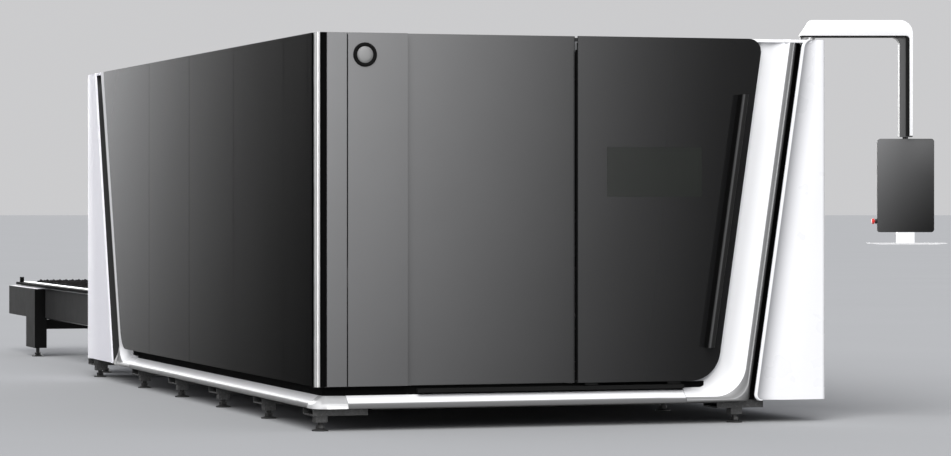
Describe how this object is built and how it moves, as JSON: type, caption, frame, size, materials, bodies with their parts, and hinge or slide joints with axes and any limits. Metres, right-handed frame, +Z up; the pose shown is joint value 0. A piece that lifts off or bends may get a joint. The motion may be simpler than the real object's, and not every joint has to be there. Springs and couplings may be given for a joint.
{
  "type": "fiber laser cutting machine",
  "caption": "Fiber laser cutter with enclosed cabin, sliding front door, swinging console arm, gantry with cutting head, and exchange table with upper and lower pallets.",
  "frame": {"origin": "centre of the footprint's bounding box, on the floor", "axes": "+X along the cabin's front from its left corner to the console, +Y back along the cabin towards the exchange table, +Z up"},
  "size_m": [3.8328, 11.3736, 2.378],
  "materials": {
    "black_paint": "matt black powder coat",
    "dull_steel": "hot-rolled, slightly scaled",
    "frame_paint": "grey industrial enamel",
    "ground_steel": "ground",
    "wall_paint": "semi-gloss dark grey powder coat",
    "bright_trim": "polished",
    "silver_metal": "anodised",
    "white_paint": "semi-gloss white powder coat",
    "table_paint": "dark grey enamel",
    "window_glass": "smoked, faintly green",
    "rubber": "matt",
    "dark_plastic": "fine-grained",
    "screen_glass": "polished black front",
    "red_plastic": "moulded",
    "brass": "turned",
    "bright_steel": "brushed"
  },
  "bodies": {
    "machine": {"base_frame": "black_paint", "outriggers": "black_paint", "foot_studs": "dull_steel", "foot_pads": "dull_steel", "bed_beams": "frame_paint", "bed_rails": "ground_steel", "pallet_rails": "ground_steel", "cabin_frame": "frame_paint", "roof_panels": "wall_paint", "left_panels": "wall_paint", "right_panels": "wall_paint", "rear_panels": "wall_paint", "corner_post": "black_paint", "corner_trim": "bright_trim", "corner_panel": "wall_paint", "badge_panel": "wall_paint", "fixed_panel": "wall_paint", "badge": "silver_metal", "skirt_left": "white_paint", "skirt_corner": "silver_metal", "skirt_front": "white_paint", "skirt_right": "white_paint", "sweep_front": "white_paint", "sweep_left": "white_paint", "groove_liners": "black_paint", "column_front": "white_paint", "columns_rear": "white_paint", "door_guides": "dull_steel", "table_sides": "table_paint", "table_frame": "table_paint", "arm_base": "silver_metal"},
    "door": {"door_panel": "wall_paint", "door_window": "window_glass", "window_gasket": "rubber", "door_handle": "black_paint", "handle_grip": "dark_plastic", "door_rail": "ground_steel", "door_rollers": "dark_plastic"},
    "arm": {"arm_shell": "white_paint", "arm_lining": "black_paint", "arm_pole": "table_paint"},
    "console": {"console_housing": "dark_plastic", "console_screen": "screen_glass", "tray_bracket": "white_paint", "keyboard_tray": "silver_metal", "stop_collar": "dark_plastic"},
    "stop": {"stop_button": "red_plastic"},
    "gantry": {"gantry_beam": "frame_paint", "beam_rails": "ground_steel"},
    "carriage": {"head_carriage": "silver_metal"},
    "head": {"head_slide": "silver_metal", "cutting_head": "white_paint", "nozzle": "brass"},
    "upper_pallet": {"upper_pallet_frame": "table_paint", "upper_pallet_strips": "bright_steel", "upper_pallet_slats": "dull_steel", "upper_pallet_wheels": "dull_steel"},
    "lower_pallet": {"lower_pallet_frame": "table_paint", "lower_pallet_slats": "dull_steel", "lower_pallet_wheels": "dull_steel"}
  },
  "joints": [
    {"name": "door_slide", "type": "slide", "parent": "machine", "child": "door", "axis": [-1, 0, 0], "range_m": [0, 0.93]},
    {"name": "arm_swivel", "type": "hinge", "parent": "machine", "child": "arm", "pos_m": [1.13663, -5.28818, 2.277], "axis": [0, 0, 1], "range_deg": [-70, 50]},
    {"name": "console_swivel", "type": "hinge", "parent": "arm", "child": "console", "pos_m": [1.69128, -5.46121, 1.676], "axis": [0, 0, 1], "range_deg": [-90, 90]},
    {"name": "stop_press", "type": "slide", "parent": "console", "child": "stop", "axis": [0.9526, -0.3044, 0], "range_m": [0, 0.004], "stiffness_N_per_m": 1500},
    {"name": "gantry_travel", "type": "slide", "parent": "machine", "child": "gantry", "axis": [0, 1, 0], "range_m": [-0.75, 4.3]},
    {"name": "carriage_travel", "type": "slide", "parent": "gantry", "child": "carriage", "axis": [1, 0, 0], "range_m": [-1.05, 1.05]},
    {"name": "head_lift", "type": "slide", "parent": "carriage", "child": "head", "axis": [0, 0, 1], "range_m": [-0.29, 0.05]},
    {"name": "upper_pallet_travel", "type": "slide", "parent": "machine", "child": "upper_pallet", "axis": [0, -1, 0], "range_m": [0, 5.6]},
    {"name": "lower_pallet_travel", "type": "slide", "parent": "machine", "child": "lower_pallet", "axis": [0, 1, 0], "range_m": [0, 5.6]}
  ],
  "couplings": [
    {"joint": "lower_pallet_travel", "follows": "upper_pallet_travel", "ratio": 1}
  ]
}
